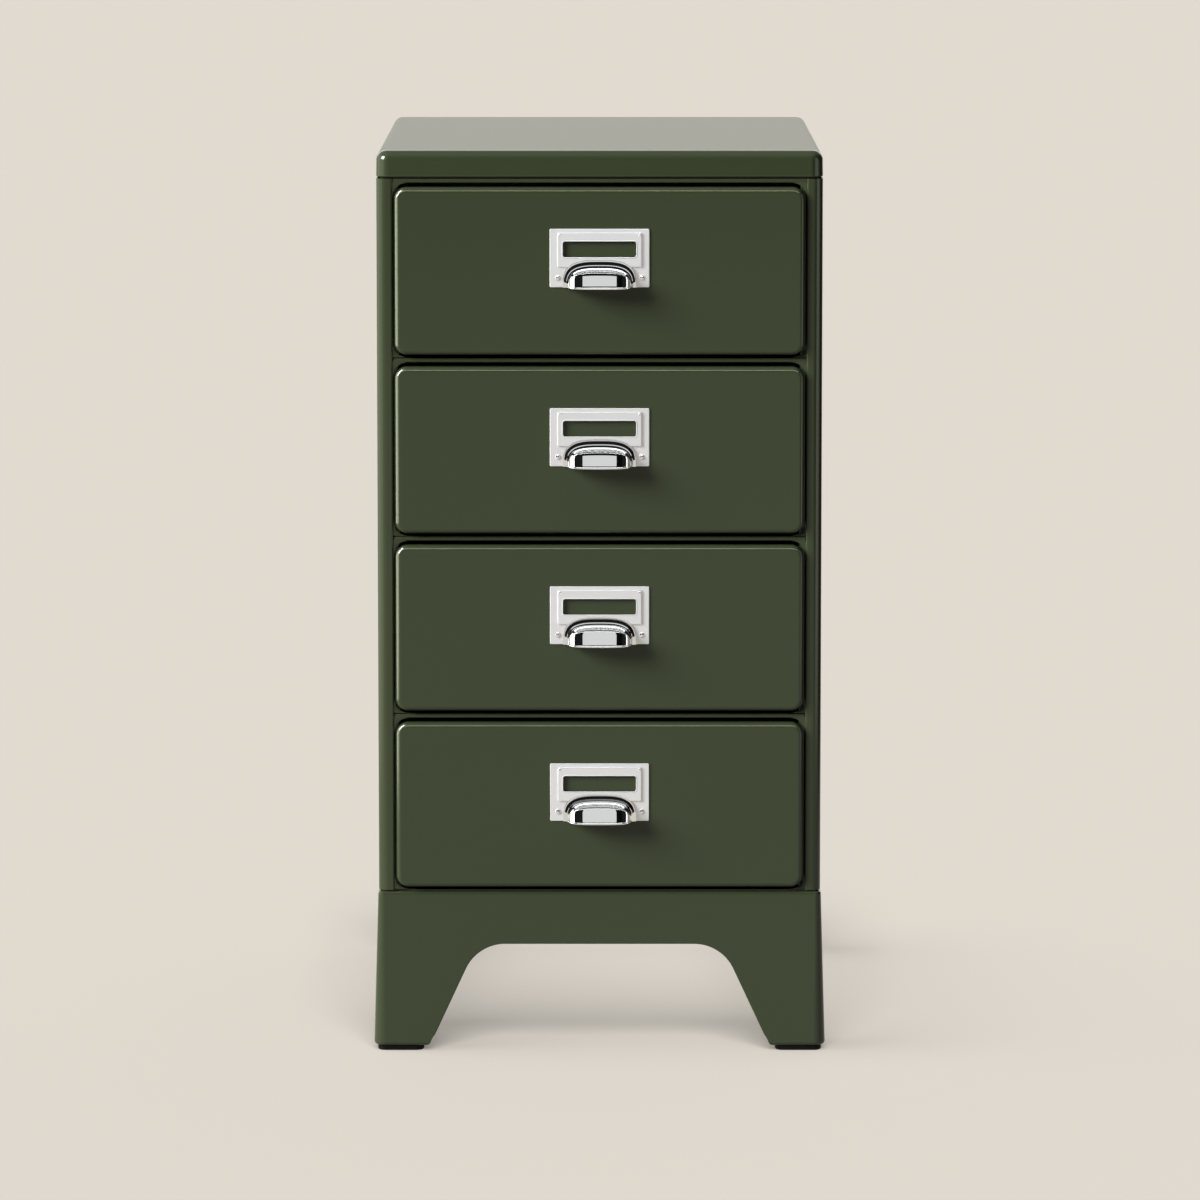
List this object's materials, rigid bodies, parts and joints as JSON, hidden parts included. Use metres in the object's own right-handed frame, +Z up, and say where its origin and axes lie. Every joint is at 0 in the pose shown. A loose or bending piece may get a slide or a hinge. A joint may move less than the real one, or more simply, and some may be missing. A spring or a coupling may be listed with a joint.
{
  "type": "archive cabinet",
  "caption": "Upright steel archive cabinet with stacked sliding drawers, a label frame and cup pull on each, a rounded lid and a splayed plinth on rubber feet.",
  "frame": {"origin": "on the floor, under the middle of the box round the whole cabinet with its pulls", "axes": "+X to the right of someone facing the drawers, +Y from the front to the back, +Z up"},
  "size_m": [0.3278, 0.4647, 0.6542],
  "materials": {
    "olive_paint": "semi-gloss olive green enamel on sheet steel",
    "satin_plate": "satin nickel-plated pressed steel",
    "chrome_pull": "mirror chrome plate",
    "zinc_steel": "bright zinc-plated steel",
    "black_rubber": "matt black moulded rubber"
  },
  "bodies": {
    "carcass": {"lid": "olive_paint", "lid_stiffeners": "zinc_steel", "lid_screws": "zinc_steel", "top_deck": "olive_paint", "side_panel_left": "olive_paint", "side_panel_right": "olive_paint", "back_panel": "olive_paint", "back_rivets": "olive_paint", "base_pan": "olive_paint", "top_rail": "olive_paint", "divider_rail_1": "olive_paint", "divider_rail_2": "olive_paint", "divider_rail_3": "olive_paint", "plinth": "olive_paint", "plinth_bolts": "zinc_steel", "plinth_nuts": "zinc_steel", "rubber_foot_front_left": "black_rubber", "rubber_foot_front_right": "black_rubber", "rubber_foot_rear_left": "black_rubber", "rubber_foot_rear_right": "black_rubber", "runner_pair_1": "zinc_steel", "runner_pair_2": "zinc_steel", "runner_pair_3": "zinc_steel", "runner_pair_4": "zinc_steel"},
    "drawer_1": {"drawer_front_1": "olive_paint", "front_liner_1": "olive_paint", "drawer_tray_1": "olive_paint", "drawer_rails_1": "zinc_steel", "label_frame_1": "satin_plate", "cup_pull_1": "chrome_pull", "pull_rivets_1": "satin_plate", "tray_screws_1": "zinc_steel"},
    "drawer_2": {"drawer_front_2": "olive_paint", "front_liner_2": "olive_paint", "drawer_tray_2": "olive_paint", "drawer_rails_2": "zinc_steel", "label_frame_2": "satin_plate", "cup_pull_2": "chrome_pull", "pull_rivets_2": "satin_plate", "tray_screws_2": "zinc_steel"},
    "drawer_3": {"drawer_front_3": "olive_paint", "front_liner_3": "olive_paint", "drawer_tray_3": "olive_paint", "drawer_rails_3": "zinc_steel", "label_frame_3": "satin_plate", "cup_pull_3": "chrome_pull", "pull_rivets_3": "satin_plate", "tray_screws_3": "zinc_steel"},
    "drawer_4": {"drawer_front_4": "olive_paint", "front_liner_4": "olive_paint", "drawer_tray_4": "olive_paint", "drawer_rails_4": "zinc_steel", "label_frame_4": "satin_plate", "cup_pull_4": "chrome_pull", "pull_rivets_4": "satin_plate", "tray_screws_4": "zinc_steel"}
  },
  "joints": [
    {"name": "drawer_1_slide", "type": "slide", "parent": "carcass", "child": "drawer_1", "axis": [0, -1, 0], "range_m": [0, 0.3]},
    {"name": "drawer_2_slide", "type": "slide", "parent": "carcass", "child": "drawer_2", "axis": [0, -1, 0], "range_m": [0, 0.3]},
    {"name": "drawer_3_slide", "type": "slide", "parent": "carcass", "child": "drawer_3", "axis": [0, -1, 0], "range_m": [0, 0.3]},
    {"name": "drawer_4_slide", "type": "slide", "parent": "carcass", "child": "drawer_4", "axis": [0, -1, 0], "range_m": [0, 0.3]}
  ]
}
